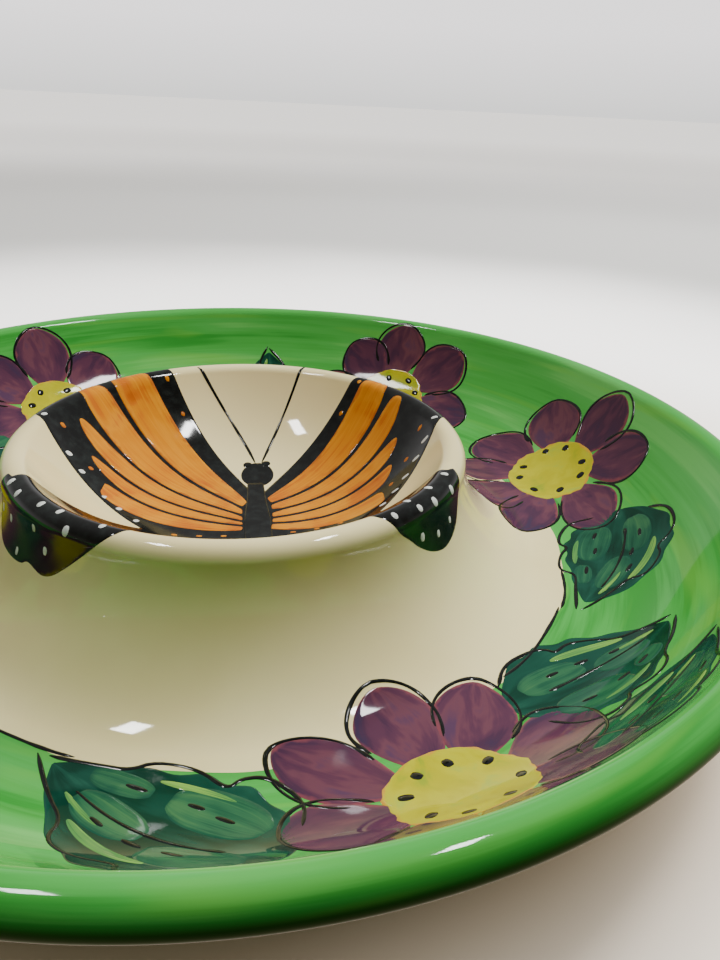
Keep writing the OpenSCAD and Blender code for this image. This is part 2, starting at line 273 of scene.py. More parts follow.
class Batch:
    """Collects slabs that make one piece."""

    def __init__(self):
        self.points, self.faces, self.paint, self.count = [], [], [], 0

    def add(self, points, faces, paint):
        self.points.append(points)
        self.faces += [tuple(i + self.count for i in f) for f in faces]
        self.paint.append(paint)
        self.count += len(points)

    def piece(self, name, material, slot, stands_for=()):
        return new_piece(name, np.concatenate(self.points), self.faces, material, stands_for,
                         np.concatenate(self.paint))


def sides(spine, half):
    """The two side lines of a strip, from its middle line and half widths."""
    run = np.gradient(spine, axis=0)
    run /= np.linalg.norm(run, axis=1)[:, None]
    across = np.stack([-run[:, 1], run[:, 0]], -1) * np.asarray(half)[:, None]
    return spine - across, spine + across


def bend(a, b, c, n=24):
    t = np.linspace(0, 1, n)[:, None]
    a, b, c = (np.asarray(p, float) for p in (a, b, c))
    return a * (1 - t) ** 2 + b * 2 * t * (1 - t) + c * t ** 2


def turned(p, degrees, centre=(0, 0)):
    c, s = math.cos(math.radians(degrees)), math.sin(math.radians(degrees))
    return np.asarray(p) @ np.array([[c, s], [-s, c]]) + np.asarray(centre)


STROKE_TAPER, STROKE_WOBBLE, STROKE_SOFT = 2.5, 0.12, 0.12 * MM


def stroke(batch, path, width, lay, thick, seed=0, press=0.0):
    """A brush line: its width breathes, runs out at its ends, and swells where pressed."""
    n = len(path)
    run = walked(path)
    t = run / run[-1]
    rng = np.random.RandomState(seed)
    breathe = 1 + STROKE_WOBBLE * np.sin(t * (9 + 4 * rng.rand()) + 6.3 * rng.rand()) \
        + STROKE_WOBBLE * 0.6 * np.sin(t * (21 + 8 * rng.rand()) + 6.3 * rng.rand())
    ends = np.clip(np.minimum(t, 1 - t) * run[-1] / (STROKE_TAPER * width), 0.12, 1) ** 0.6
    swell = 1 + press * np.exp(-((run - 2.2 * width) / (2.2 * width)) ** 2)
    left, right = sides(path, width / 2 * breathe * ends * swell)
    batch.add(*strip_mesh(left, right, lay, thick, across=5, soft=STROKE_SOFT))


def smear(batch, path, width, lay, thick):
    """A broad brush mark with rounded ends."""
    t = walked(path) / walked(path)[-1]
    half = width / 2 * np.clip(1 - np.abs(2 * t - 1) ** 2.6, 0.004, 1) ** 0.5
    left, right = sides(path, half)
    batch.add(*strip_mesh(left, right, lay, thick, across=11))


def resampled(path, step):
    run = walked(path)
    n = max(4, int(run[-1] / step) + 1)
    t = np.linspace(0, run[-1], n)
    return np.stack([np.interp(t, run, path[:, 0]), np.interp(t, run, path[:, 1])], -1)


def dot(batch, centre, d, lay, rise=0.4 * MM, stretch=1.0, direction=0.0):
    """A round drop of paint that stands proud."""
    a = np.linspace(0, np.pi, 11)
    spine = np.stack([-np.cos(a) * d / 2 * stretch, 0 * a], -1)
    half = np.maximum(np.sin(a), 0.05) * d / 2
    left, right = sides(spine, half)
    left, right = turned(left, direction, centre), turned(right, direction, centre)
    batch.add(*strip_mesh(left, right, lay, rise, across=7, soft=d * 0.22))


# Materials

def rgb(hex_code):
    """Linear colour from an sRGB hex code."""
    values = [int(hex_code[i:i + 2], 16) / 255 for i in (0, 2, 4)]
    return tuple(((v + 0.055) / 1.055) ** 2.4 if v > 0.04045 else v / 12.92 for v in values) + (1,)


def set_stops(node, stops):
    """Gives a colour ramp its stops, each a place and a colour."""
    elements = node.color_ramp.elements
    while len(elements) < len(stops):
        elements.new(0.5)
    for element, (place, colour) in zip(elements, stops):
        element.position = place
        element.color = colour


class Shader:
    """A glazed material whose colour and bump are built from nodes."""

    def __init__(self, name, roughness, ior=1.5):
        self.material = bpy.data.materials.new(name)
        self.material.use_nodes = True
        self.tree = self.material.node_tree
        self.bsdf = self.tree.nodes["Principled BSDF"]
        self.bsdf.inputs["Roughness"].default_value = roughness
        self.bsdf.inputs["IOR"].default_value = ior

    def node(self, kind, **settings):
        node = self.tree.nodes.new(kind)
        for key, value in settings.items():
            setattr(node, key, value)
        return node

    def link(self, a, b):
        self.tree.links.new(a, b)

    def attribute(self):
        return self.node("ShaderNodeAttribute", attribute_name="paint").outputs["Vector"]

    def position(self):
        return self.node("ShaderNodeTexCoord").outputs["Object"]

    def scaled(self, vector, scale, offset=(0, 0, 0)):
        node = self.node("ShaderNodeMapping")
        node.inputs["Scale"].default_value = scale
        node.inputs["Location"].default_value = offset
        self.link(vector, node.inputs["Vector"])
        return node.outputs["Vector"]

    def noise(self, vector, scale=1.0, detail=3.0, roughness=0.5, distortion=0.0):
        node = self.node("ShaderNodeTexNoise")
        node.inputs["Scale"].default_value = scale
        node.inputs["Detail"].default_value = detail
        node.inputs["Roughness"].default_value = roughness
        node.inputs["Distortion"].default_value = distortion
        self.link(vector, node.inputs["Vector"])
        return node.outputs["Fac"]

    def math(self, operation, a, b):
        node = self.node("ShaderNodeMath", operation=operation)
        for socket, value in zip(node.inputs, (a, b)):
            if isinstance(value, (int, float)):
                socket.default_value = value
            else:
                self.link(value, socket)
        return node.outputs[0]

    def part(self, vector, axis):
        node = self.node("ShaderNodeSeparateXYZ")
        self.link(vector, node.inputs[0])
        return node.outputs[axis]

    def ramp(self, value, *stops):
        node = self.node("ShaderNodeValToRGB")
        node.color_ramp.interpolation = "EASE"
        set_stops(node, stops)
        self.link(value, node.inputs[0])
        return node.outputs["Color"]

    def mix(self, factor, a, b):
        node = self.node("ShaderNodeMix", data_type="RGBA")
        for socket, value in zip((node.inputs[0], node.inputs[6], node.inputs[7]), (factor, a, b)):
            if isinstance(value, (int, float, tuple)):
                socket.default_value = value
            else:
                self.link(value, socket)
        return node.outputs[2]

    def range(self, value, low, high, to_low=0.0, to_high=1.0):
        node = self.node("ShaderNodeMapRange")
        for i, v in enumerate((low, high, to_low, to_high)):
            node.inputs[i + 1].default_value = v
        self.link(value, node.inputs[0])
        return node.outputs[0]

    def colour(self, socket):
        self.link(socket, self.bsdf.inputs["Base Color"])

    def bump(self, *layers):
        """Each layer is a height socket and the depth in metres that it stands for."""
        normal = None
        for height, depth in layers:
            node = self.node("ShaderNodeBump")
            node.inputs["Distance"].default_value = depth
            self.link(height, node.inputs["Height"])
            if normal:
                self.link(normal, node.inputs["Normal"])
            normal = node.outputs["Normal"]
        self.link(normal, self.bsdf.inputs["Normal"])

    def glaze_bump(self, depth=0.035 * MM):
        """The slow ripple and the fine pinholes of a dipped glaze."""
        place = self.position()
        self.bump((self.noise(place, 55, 2), depth), (self.noise(place, 900, 2), depth * 0.03))


def cream_material():
    m = Shader("cream_glaze", roughness=0.05)
    place = m.position()
    cloud = m.noise(place, 16, 4)
    specks = m.noise(place, 1500, 2, 0.7)
    base = m.ramp(cloud, (0.3, rgb("e6d69a")), (0.7, rgb("f0e2a8")))
    m.colour(m.mix(m.range(specks, 0.72, 0.80, 0, 0.3), base, rgb("c4b48a")))
    m.glaze_bump()
    return m.material


def green_material():
    """Wide brush bands round the tray, with the finer marks of the bristles in them."""
    m = Shader("green_glaze", roughness=0.05, ior=1.38)
    wheel = m.attribute()
    broad = m.noise(m.scaled(wheel, (1.2, 1.2, 55)), 1, 2, 0.5, 0.4)
    bristle = m.noise(m.scaled(wheel, (2.0, 2.0, 380), (3, 1, 0)), 1, 3, 0.6, 0.3)
    pale = m.noise(m.scaled(wheel, (1.7, 1.7, 100), (7, 5, 0)), 1, 2, 0.5, 0.6)
    value = m.math("ADD", m.math("MULTIPLY", broad, 0.75), m.math("MULTIPLY", bristle, 0.25))
    base = m.ramp(value, (0.38, rgb("2f8a31")), (0.48, rgb("43a043")), (0.56, rgb("4aa64b")),
                  (0.66, rgb("62b65a")))
    m.colour(m.mix(m.range(pale, 0.58, 0.72, 0, 0.45), base, rgb("6fb53f")))
    m.glaze_bump()
    return m.material


def clay_material():
    m = Shader("clay", roughness=0.28)
    place = m.position()
    base = m.ramp(m.noise(place, 25, 4), (0.3, rgb("ddd2b9")), (0.7, rgb("e9e0ca")))
    specks = m.noise(place, 1100, 2, 0.7)
    m.colour(m.mix(m.range(specks, 0.66, 0.74, 0, 0.5), base, rgb("a8956f")))
    m.bump((m.noise(place, 260, 3), 0.06 * MM), (m.noise(place, 1800, 2), 0.02 * MM))
    return m.material


def brushed(name, tones, edge=None, edge_mm=1.4, grain=(1.6, 1.8, 0), spread=45, seed=0.0, streaks=0.5):
    """Paint brushed along a shape in soft tones, with a second colour along its edge."""
    m = Shader(name, roughness=0.06, ior=1.33)
    paint = m.attribute()
    place = m.position()
    cloud = m.noise(m.scaled(place, (1, 1, 1), (seed, 0, 0)), spread, 2, 0.5, 0.6)
    streak = m.noise(m.scaled(paint, grain, (seed, seed * 2, 0)), 1, 3, 0.6, 0.6)
    value = m.math("ADD", m.math("MULTIPLY", streak, streaks), m.math("MULTIPLY", cloud, 1 - streaks))
    stops = np.linspace(0.34, 0.66, len(tones))
    base = m.ramp(value, *[(stop, rgb(tone)) for stop, tone in zip(stops, tones)])
    if edge:
        ragged = m.math("ADD", m.part(paint, 2), m.range(m.noise(place, 160, 3), 0.3, 0.7, -1.2, 1.2))
        base = m.mix(m.range(ragged, 0.1, edge_mm, 0.85, 0), base, rgb(edge))
    m.colour(base)
    m.glaze_bump()
    return m.material


def line_material(name, dark, light, roughness=0.08, down_flank=None):
    m = Shader(name, roughness=roughness)
    place = m.position()
    m.colour(m.ramp(m.noise(place, 240, 4, 0.6), (0.4, rgb(dark)), (0.75, rgb(light))))
    if down_flank:
        radius = m.node("ShaderNodeVectorMath", operation="LENGTH")
        m.link(m.scaled(place, (1, 1, 0)), radius.inputs[0])
        edge = CREST_R + CREST_ROUND
        m.link(m.range(radius.outputs["Value"], edge - 1 * MM, edge + 1 * MM, roughness, down_flank),
               m.bsdf.inputs["Roughness"])
    m.glaze_bump(0.02 * MM)
    return m.material


CREAM = cream_material()
GREEN = green_material()
CLAY = clay_material()
PETAL = brushed("petal_paint", ["382a42", "43293e", "512f42", "613a47", "4e344c"], "7c4048", seed=1.0)
YELLOW = brushed("centre_paint", ["8a9a22", "a9a413", "b1ad1c", "9dab38"], "c48c30", 1.2,
                 (2.5, 2, 0), 60, 2.0)
LEAF_DARK = brushed("leaf_paint", ["05231a", "0a3326", "124234", "1f5140"], seed=3.0)
LEAF_LIGHT = brushed("leaf_strokes", ["336b3c", "4f8442", "74a346", "93bb4c"],
                     grain=(1.0, 3.5, 0), spread=30, seed=4.0)
LEAF_MID = brushed("leaf_washes", ["123f2e", "1c4e38", "2c5e40", "3e6c44"], "164636", 2.4,
                   (0.7, 4.5, 0), 40, 6.0)
ORANGE = brushed("orange_paint", ["a8540f", "bb6616", "c87c08", "d08812", "c06c22"], "a65c1e", 0.9,
                 (1.5, 3, 0), 50, 5.0)
BLACK = line_material("black_paint", "0c0e0e", "1c2120")
WING_BLACK = line_material("wing_black_paint", "0c0e0e", "1c2120", down_flank=0.2)
WHITE = line_material("white_paint", "cfd4cc", "e6e8e0")


# Body

def section_points(s0, s1, step=1.1 * MM):
    """Distances along the section, closer together round the rim and the crest."""
    marks = [s0]
    while marks[-1] < s1 - 0.3 * step:
        s = marks[-1]
        r, z = np.interp(s, S, R), np.interp(s, S, Z)
        tight = min(math.hypot(r - RIM_C[0], z - RIM_C[1]), math.hypot(r - CREST_C[0], z - CREST_C[1]))
        marks.append(s + (0.45 * MM if tight < 7 * MM else step))
    marks[-1] = s1
    return np.array(marks)


def section_at(s, h=0.0):
    line = np.stack([np.interp(s, S, R) + h * np.interp(s, S, OUT[:, 0]),
                     np.interp(s, S, Z) + h * np.interp(s, S, OUT[:, 1])], -1)
    return np.where((np.interp(s, S, R) < 1e-6)[..., None], line * [0, 1], line)


def cream_edge(a):
    """Radius of the wavy line where the cream meets the green."""
    a = a + math.radians(5)
    return CREAM_R + (0.6 + 3 * np.cos(a) + 1.2 * np.cos(3 * a) + 0.5 * np.cos(17 * a)) * MM


EDGE_FADE = 9 * MM


def edge_shift(s, a):
    """Carries the coats' meeting line out to the wavy edge, fading out to either side."""
    fade = max(0, 1 - abs(s - s_at(CREAM_R)) / EDGE_FADE) if s < S_RIM else 0
    moved_s = s + (cream_edge(a) - CREAM_R) * fade
    return tuple(np.interp(moved_s, S, line) - np.interp(s, S, line) for line in (R, Z))


def glaze(name, s0, s1, material):
    """A coat of even thickness between two places on the surface."""
    s = section_points(s0, s1)
    section = np.concatenate([section_at(s), section_at(s, -COAT)[::-1]])
    runs = np.concatenate([s, s[::-1]])
    return lathe(name + "_coat", section, material, [name], runs, edge_shift)


def clay_ring(node, s0, s1, under):
    """A clay member between two places on the surface, and its underside's line."""
    section = np.concatenate([section_at(section_points(s0, s1), -COAT), under[::-1]])
    return lathe(node + "_clay", section, CLAY, [node])


def line_between(line, low, high):
    """The stretch of a line between two radii, with its ends cut at them."""
    ends = [[r, np.interp(r, line[:, 0], line[:, 1])] for r in (low, high)]
    middle = line[(line[:, 0] > low + 1e-5) & (line[:, 0] < high - 1e-5)]
    return np.concatenate([[ends[0]], middle, [ends[1]]])


# How far the hollow's top is below the crest's centre, and the rounding of the foot
APEX_DROP = 3.7 * MM
FOOT_ROUND = 1.5 * MM


def clay():
    """The clay members, each closed where it meets the next."""
    apex = [CREST_R, CREST_C[1] - APEX_DROP]
    bowl_under = power_line([0, BOWL_Z - WALL], apex, BOWL_POWER, 90)
    flank_under = flare_line(apex, [FLANK_R, BASE_Z], FLANK_POWER, 90)
    inner = moved(joined(WELL_LINE, RIM_LINE, WALL_LINE, FOOT_CORNER), -COAT)
    wall_under = inner[len(WELL_LINE) + len(RIM_LINE) - 1:][::-1]
    tray_under = np.concatenate([[[FLANK_R, BASE_Z]], wall_under])
    clay_ring("bowl_floor", 0, s_at(BOWL_R), line_between(bowl_under, 0, BOWL_R))
    clay_ring("bowl_wall", s_at(BOWL_R), S_CREST, line_between(bowl_under, BOWL_R, CREST_R))
    clay_ring("skirt_upper", S_CREST, s_at(SKIRT_R), line_between(flank_under, CREST_R, SKIRT_R))
    clay_ring("skirt_lower", s_at(SKIRT_R), s_at(FLANK_R), line_between(flank_under, SKIRT_R, FLANK_R))
    clay_ring("tray_floor", s_at(FLANK_R), s_at(FLOOR_R), line_between(tray_under, FLANK_R, FLOOR_R))
    clay_ring("tray_wall", s_at(FLOOR_R), s_at(RIM_R), line_between(tray_under, FLOOR_R, RIM_R))
    rim_s = section_points(s_at(RIM_R), S[-1])
    rim = section_at(rim_s, -COAT)
    rim = rim[(rim[:, 0] > RIM_R + 0.2 * MM)]
    ends = [[RIM_R, np.interp(RIM_R, tray_under[:, 0], tray_under[:, 1])],
            [RIM_R, section_at(s_at(RIM_R), -COAT)[1]]]
    lathe("rim_roll_clay", np.concatenate([rim, ends]), CLAY, ["rim_roll"])
    r = FOOT_ROUND
    foot = np.concatenate([
        [[FOOT_R, BASE_Z], [FOOT_R - FOOT_WIDTH, BASE_Z]],
        arc([FOOT_R - FOOT_WIDTH + r, r], r, 180, 270, 9),
        arc([FOOT_R - r, r], r, 270, 360, 9)])
    lathe("foot_ring_clay", foot, CLAY, ["foot_ring"])


# Flowers

# Each row is a flower: azimuth, radius to its centre, turn
FLOWERS = [(-70, 150, 0), (13, 147, 2), (57, 151, 0), (128, 149, -5), (168, 147, 8), (212, 149, 15)]
PETALS = 8
PETAL_REACH = 48 * MM
PETAL_WIDTH = 26.5 * MM
CENTRE_R = 20 * MM
SEED_DOT, SEED_RISE = 4.3 * MM, 0.55 * MM
OUTLINE, OUTLINE_THICK = 1.3 * MM, 0.24 * MM


def petal_half(t):
    """Half width along a petal, as a share of its greatest."""
    return np.sin(np.pi * np.clip(t, 0.004, 0.996) ** 1.36) ** 0.6


def petal(rng):
    """Middle line and half widths of one petal, drawn out along X."""
    reach = PETAL_REACH * (1 + 0.05 * rng.uniform(-1, 1))
    width = PETAL_WIDTH * (1 + 0.07 * rng.uniform(-1, 1))
    t = (1 - np.cos(np.linspace(0, np.pi, 30))) / 2
    start = CENTRE_R * 0.6
    sway = 1.5 * MM * rng.uniform(-1, 1)
    spine = np.stack([start + (reach - start) * t, sway * np.sin(np.pi * t)], -1)
    return spine, width / 2 * petal_half(t)


def petal_outline(spine, half, rng):
    """Round the petal from one side of its root to the other, a little off the paint."""
    left, right = sides(spine, half + 0.4 * MM)
    first = 9 + rng.randint(0, 3)
    loop = np.concatenate([left[first:], right[::-1][1:-first - rng.randint(0, 3)]])
    if rng.rand() < 0.5:
        loop = loop[::-1]
    slip = rng.uniform(-1.1, 1.1, 2) * MM
    return resampled(loop * (1 + 0.02 * rng.rand()) + slip, 1.2 * MM)


def flower(number, azimuth, r, turn):
    lay = tray_place(azimuth, r * MM)
    rng = np.random.RandomState(10 + number)
    name = f"flower_{number}"
    petals, lines, centre, dots = Batch(), Batch(), Batch(), Batch()
    for i in range(PETALS):
        way = turn + 360 / PETALS * i + 3 * rng.uniform(-1, 1)
        spine, half = petal(rng)
        left, right = sides(spine, half)
        lift = PAINT * (1 + 0.25 * (i % 2))
        petals.add(*strip_mesh(turned(left, way), turned(right, way), lay, lift, across=13))
        outline = turned(petal_outline(spine, half, rng), way)
        stroke(lines, outline, OUTLINE, lay, OUTLINE_THICK, seed=number * 10 + i, press=0.5)
    a = np.linspace(0, np.pi, 40)
    spine = np.stack([-np.cos(a) * CENTRE_R, 0 * a], -1)
    jag = [1 + 0.04 * np.sin(7 * a + number + k) + 0.02 * np.sin(23 * a + k) for k in (0, 2)]
    half = np.maximum(np.sin(a), 0.03) * CENTRE_R
    left, right = sides(spine, half)
    left, right = spine + (left - spine) * jag[0][:, None], spine + (right - spine) * jag[1][:, None]
    centre.add(*strip_mesh(left, right, lay, PAINT * 1.7, across=27))
    for i in range(8):
        ring = CENTRE_R * (0.76 + 0.06 * rng.uniform(-1, 1))
        place = turned([[ring, 0]], turn + 22 + 45 * i + 8 * rng.uniform(-1, 1))[0]
        stretch = 1 + 0.25 * rng.rand()
        dot(dots, place, SEED_DOT, lay, SEED_RISE, stretch, 360 * rng.rand())
    petals.piece(name + "_petals_painted", PETAL, "petal_paint", [name + "_petals"])
    centre.piece(name + "_centre_painted", YELLOW, "centre_paint", [name + "_centre"])
    dots.piece(name + "_dots_painted", BLACK, "black_paint", [name + "_dots"])
    lines.piece(name + "_outlines", BLACK, "black_paint")


# Leaves

# Each row is a leaf: azimuth, radius to its middle, way its tip points, length, width
LEAVES = [
    (-15, 145, -112, 62, 42), (-44, 147, 60, 62, 42), (-52, 170, 84, 62, 30), (-99, 142, -117, 74, 46),
    (-120, 160, 85, 56, 32), (83, 150, 8, 48, 34), (102, 138, -100, 50, 30), (149, 152, 80, 54, 34),
    (190, 138, -100, 56, 34), (190, 164, 95, 56, 32)
]
# Each side of a leaf's outline steps in twice on its way from the root to the tip
OUTLINE_SIDE = [
    (0.06, 0.5), (0.14, 0.95), (0.3, 1.1), (0.42, 1.02), (0.44, 0.82), (0.56, 0.92), (0.72, 0.78),
    (0.74, 0.5), (0.88, 0.34), (1.06, 0.02)
]
# Broad washes in a leaf: place across, start, length, share of its width
WASHES = [(0.45, 0.1, 0.34, 0.3), (-0.45, 0.16, 0.4, 0.34), (0.12, 0.5, 0.34, 0.28), (-0.5, 0.62, 0.2, 0.18)]
# Narrow light strokes: place across, start, length, width in mm
LIGHT_STROKES = [(0.68, 0.36, 0.36, 3.6), (-0.72, 0.34, 0.28, 2.6), (0.32, 0.66, 0.2, 2.4)]


def leaf_half(t):
    return np.sin(np.pi * np.clip(t, 0.004, 0.996) ** 0.75) ** 0.75


def rounded(path, times=2):
    """A line of points with its corners cut off."""
    for _ in range(times):
        a, b = path[:-1], path[1:]
        cut = np.stack([a * 0.75 + b * 0.25, a * 0.25 + b * 0.75], 1).reshape(-1, 2)
        path = np.concatenate([path[:1], cut, path[-1:]])
    return path


def leaf_outline(side, length, width, rng):
    rows = np.array(OUTLINE_SIDE) + rng.uniform(-0.035, 0.035, (len(OUTLINE_SIDE), 2))
    path = np.stack([length * (rows[:, 0] - 0.5), side * width / 2 * rows[:, 1]], -1)
    return resampled(rounded(path), 1.0 * MM)


def leaf(number, azimuth, r, way, length, width):
    lay = tray_place(azimuth, r * MM)
    rng = np.random.RandomState(50 + number)
    length, width = length * MM, width * MM
    t = (1 - np.cos(np.linspace(0, np.pi, 64))) / 2
    spine = np.stack([length * (t - 0.5), 2 * MM * np.sin(np.pi * t)], -1)
    half = width / 2 * leaf_half(t)
    base, washes, strokes, lines = Batch(), Batch(), Batch(), Batch()
    left, right = sides(spine, half * (1 + 0.04 * np.sin(31 * t + number)))
    base.add(*strip_mesh(turned(left, way), turned(right, way), lay, PAINT, across=25))

    def along_leaf(start, stop, off, swing):
        """A line along the leaf at a share of its half width."""
        u = np.linspace(start, stop, 24)
        room = np.interp(u, t, half)
        return turned(np.stack([length * (u - 0.5), off * room + swing * MM * np.sin(np.pi * u)], -1), way)

    for off, start, span, share in WASHES:
        path = along_leaf(start, start + span + 0.06 * rng.rand(), off + 0.08 * rng.uniform(-1, 1), 0)
        smear(washes, path, share * width, lay, PAINT * 1.6)
    for off, start, span, wide in LIGHT_STROKES:
        path = along_leaf(start, start + span + 0.08 * rng.rand(), off + 0.06 * rng.uniform(-1, 1), 1)
        smear(strokes, path, wide * MM, lay, PAINT * 2)
    for side in (-1, 1):
        outline = turned(leaf_outline(side, length, width, rng), way)
        stroke(lines, outline, 1.35 * MM, lay, OUTLINE_THICK, seed=number + side, press=0.4)
    stroke(lines, along_leaf(0.2, 0.86, 0.05, 2.5), OUTLINE, lay, 0.3 * MM, seed=number + 5, press=0.5)
    for k in range(6):
        u, side = 0.28 + 0.17 * (k // 2) + 0.04 * rng.uniform(-1, 1), (-1) ** k
        path = along_leaf(u, u + 0.075 + 0.02 * rng.rand(), side * rng.uniform(0.34, 0.5), 0)
        smear(lines, resampled(path, 0.4 * MM), 2.0 * MM, lay, 0.34 * MM)
    name = f"leaf_{number}"
    base.piece(name + "_painted", LEAF_DARK, "leaf_paint", [name])
    washes.piece(name + "_washes", LEAF_MID, "leaf_paint")
    strokes.piece(name + "_strokes", LEAF_LIGHT, "leaf_paint")
    lines.piece(name + "_lines", BLACK, "black_paint")


# Each row is a line beside the cream's edge: first and last azimuth, distance off it
EDGE_LINES = [(-18, -30, -0.5), (-29.5, -51, -1), (-129, -112, -1)]


def edge_lines():
    """Loose lines drawn along the cream's edge beside some of the leaves."""
    lines = Batch()

    def lay(p):
        return p[..., 0], p[..., 1] / CREAM_R

    for k, (start, stop, off) in enumerate(EDGE_LINES):
        a = np.radians(np.linspace(start, stop, 40))
        r = cream_edge(a) + off * MM + 0.8 * MM * np.sin(9 * a + k)
        flat = np.stack([s_at(r), a], -1)
        stroke(lines, flat * [1, CREAM_R], 1.2 * MM, lay, 0.22 * MM, seed=k)
    lines.piece("edge_lines", BLACK, "black_paint")


# Butterfly, drawn in the bowl's plan

BODY_X, HEAD_Y, TAIL_Y = 5, 29, -38
# Each wing's outline in mm: three curves of three points each, the rim as start and end
# azimuth and radius, and the hind wing's two curves, with the tip's lobe between them
EDGES = {
    -1: dict(lead=([3, 17], [-10, 44], [-34, 76]), rim=(116, 164, 83),
             trail=([-80, 21.5], [-58, -2], [-38, -18]),
             hind=([-38, -18], [-60, -22], [-74, -33]), tail=([-35, -72], [-14, -60], [3, -34])),
    1: dict(lead=([8, 15], [24, 42], [56, 62]), rim=(47, 8, 83),
            trail=([82, 12], [68, -10], [50, -25]),
            hind=([50, -25], [60, -28], [70, -38]), tail=([41, -70], [22, -58], [7, -34])),
}
# Each row is a cell: root, control point, tip, half width at the root and at the tip
FORE_CELLS = {
    -1: [([0, 5], [-20, 34], [-53, 66], 1, 10), ([0, -1.5], [-28, 21], [-70, 51], 0.8, 7),
         ([0, -7], [-28, 10], [-65, 30.5], 0.8, 5), ([0, -10.7], [-27, 0], [-59.5, 18], 0.7, 3.8),
         ([0, -13.5], [-26, -10.5], [-53, 5], 0.9, 7.4)],
    1: [([10, 7.5], [32, 24], [65, 52], 1, 10), ([10, 2], [38, 11], [69, 35], 0.8, 6),
        ([10, -4.5], [38, 3], [64.5, 18], 1, 4.2), ([10, -8.7], [36, -8], [60, 5], 0.8, 7),
        ([9.5, -12.7], [32, -17], [53.5, -12], 1.8, 5.5)],
}
HIND_CELLS = {
    -1: [([-2, -25], [-30, -26], [-62, -40], 1.5, 6), ([-1, -29], [-24, -38], [-50, -56], 1.2, 6),
         ([1, -33], [-12, -48], [-31, -66], 1, 5)],
    1: [([11, -27], [36, -30], [62, -44], 1.5, 5), ([10, -31], [30, -42], [50, -58], 1.2, 5),
        ([9, -35], [22, -50], [38, -66], 1, 4)],
}


def inside(points, outline):
    """Which points are inside a closed outline."""
    x, y = points[:, 0][:, None], points[:, 1][:, None]
    x0, y0 = outline.T
    x1, y1 = np.roll(outline, -1, axis=0).T
    crosses = (y0 > y) != (y1 > y)
    level = x0 + (y - y0) / np.where(y1 == y0, 1e-12, y1 - y0) * (x1 - x0)
    return (crosses & (x < level)).sum(1) % 2 == 1


def edge_distance(points, outline):
    a, b = outline, np.roll(outline, -1, axis=0)
    run = b - a
    t = ((points[:, None] - a) * run).sum(2) / (run ** 2).sum(1)
    near = a + np.clip(t, 0, 1)[..., None] * run
    return np.linalg.norm(points[:, None] - near, axis=2).min(1)


PATCH_STEP = 1.0 * MM


def patch(batch, outline, lay, thick):
    """A thin raised area of any outline."""
    step = PATCH_STEP
    outline = resampled(np.concatenate([outline, outline[:1]]), step)[:-1]
    low, high = outline.min(0), outline.max(0)
    xs, ys = np.arange(low[0], high[0], step), np.arange(low[1], high[1], step * 0.87)
    gx, gy = np.meshgrid(xs, ys)
    gx[1::2] += step / 2
    grid = np.stack([gx.ravel(), gy.ravel()], -1)
    grid = grid[inside(grid, outline)]
    depth = edge_distance(grid, outline)
    grid = grid[depth > 0.7 * MM]
    run = np.roll(outline, -1, axis=0) - np.roll(outline, 1, axis=0)
    run /= np.linalg.norm(run, axis=1)[:, None]
    area = (outline[:, 0] * np.roll(outline[:, 1], -1) - outline[:, 1] * np.roll(outline[:, 0], -1)).sum()
    inward = np.stack([-run[:, 1], run[:, 0]], -1) * np.sign(area)
    ring = outline + inward * 0.3 * MM
    ring = ring[edge_distance(ring, outline) > 0.2 * MM]
    flat = np.concatenate([outline, ring, grid])
    n = len(outline)
    edges = [(i, (i + 1) % n) for i in range(n)]
    verts, _, faces, *_ = delaunay_2d_cdt([Vector(p) for p in flat / MM], edges, [], 1, 1e-5)
    flat = np.array([tuple(v) for v in verts]) * MM
    depth = edge_distance(flat, outline)
    s, a = lay(flat)
    h = -BURIED + (thick + BURIED) * (1 - np.exp(-depth / EDGE_SOFT))
    top, bottom = on_surface(s, a, h), on_surface(s, a, -2 * BURIED + 0 * h)
    count = len(flat)
    used = {}
    for f in faces:
        for i, j in zip(f, list(f[1:]) + [f[0]]):
            used[(i, j)] = True
    slab = [tuple(f) for f in faces] + [tuple(count + i for i in reversed(f)) for f in faces]
    slab += [(j, i, count + i, count + j) for i, j in used if (j, i) not in used]
    paint = np.stack([flat[:, 0] / MM / 50, flat[:, 1] / MM / 50, depth / MM], -1)
    batch.add(np.concatenate([top, bottom]), slab, np.concatenate([paint, paint]))


def curve(rows, n=24):
    return bend(*rows, n=n) * MM


# The hindwing's lobed end, which hangs over the crest: azimuth, drop beyond the crest
TIP_EDGE = {
    -1: [(-158.5, 2), (-158, 12), (-156, 19), (-152, 23), (-147, 24), (-141.5, 23.5), (-139.5, 21),
         (-137, 21.8), (-134, 22.8), (-131, 21.3), (-128, 17.5), (-124.6, 13), (-119.8, 6.6), (-116.5, 1.5)],
    1: [(-26.5, 1.5), (-28, 5), (-30, 12), (-32.3, 17), (-35, 20), (-38.5, 21.8), (-42.3, 22.6),
        (-46.6, 20.6), (-50.6, 16.5), (-53, 12.5), (-56, 9), (-58, 4.5), (-59.5, 1)],
}


def tip_lobe(side):
    azimuth, drop = np.array(TIP_EDGE[side]).T
    return rounded(polar(1.0, azimuth) * (CREST_R + drop * MM)[:, None])


def cell_edge(spine, neighbour, own, gap):
    """One side of a cell: its own width, or up to the vein that it shares with its neighbour."""
    across = neighbour - spine
    reach = np.linalg.norm(across, axis=1)
    half = np.minimum(own, reach / 2 - gap / 2)
    return spine + across / reach[:, None] * half[:, None]


